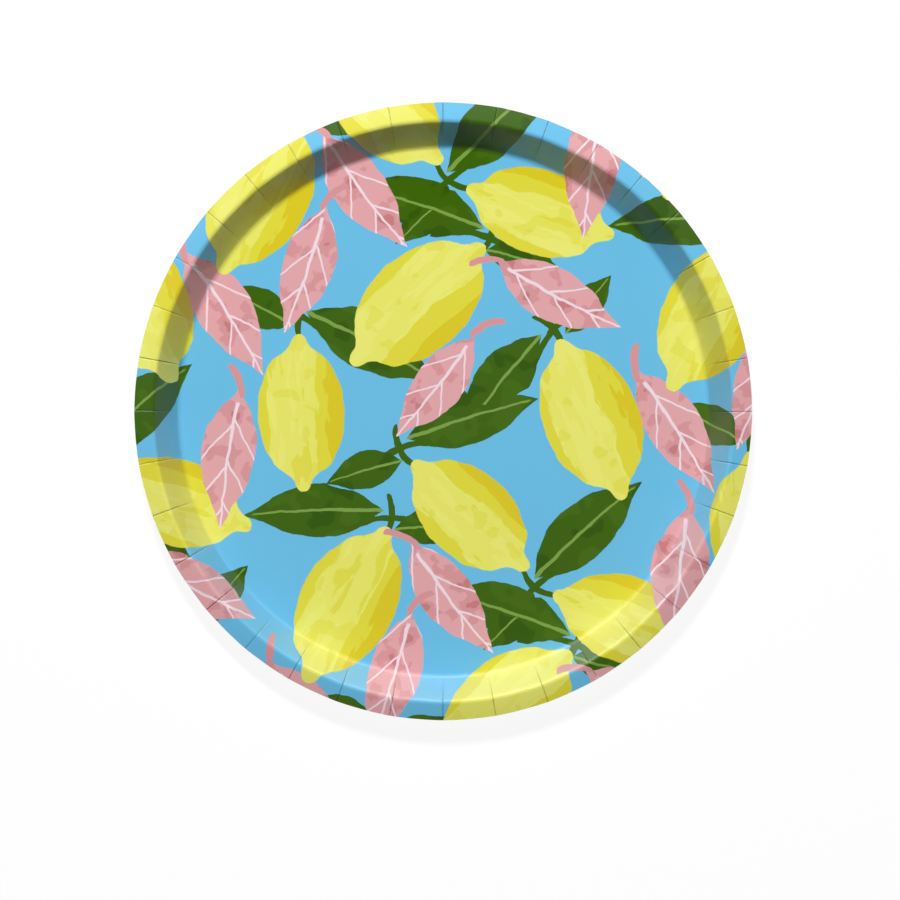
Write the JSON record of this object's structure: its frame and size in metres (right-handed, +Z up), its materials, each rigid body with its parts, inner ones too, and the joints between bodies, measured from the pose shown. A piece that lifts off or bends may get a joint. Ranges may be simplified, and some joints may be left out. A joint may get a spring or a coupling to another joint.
{
  "type": "round serving plate",
  "caption": "Round shallow serving plate of laminated pressed board: flat well, straight steep wall, narrow sloping rim, creases spaced evenly round wall and rim.",
  "frame": {"origin": "centre of the flat underside, on the surface that the plate stands on", "axes": "+Z up out of the well, the plate's turning axis; +X and +Y each pass through a crease of the rim"},
  "size_m": [0.2286, 0.2286, 0.0164],
  "materials": {
    "gloss_film": "clear food-safe gloss film, seen in the colour of the print under it",
    "printed_paper": "coated paper printed with lemons and green and pink leaves on sky blue, slightly glossy",
    "white_board": "uncoated white board, matt, faint fibre"
  },
  "bodies": {
    "root": {"clear_gloss_film": "gloss_film", "printed_paper": "printed_paper", "pressed_board": "white_board"}
  },
  "joints": []
}
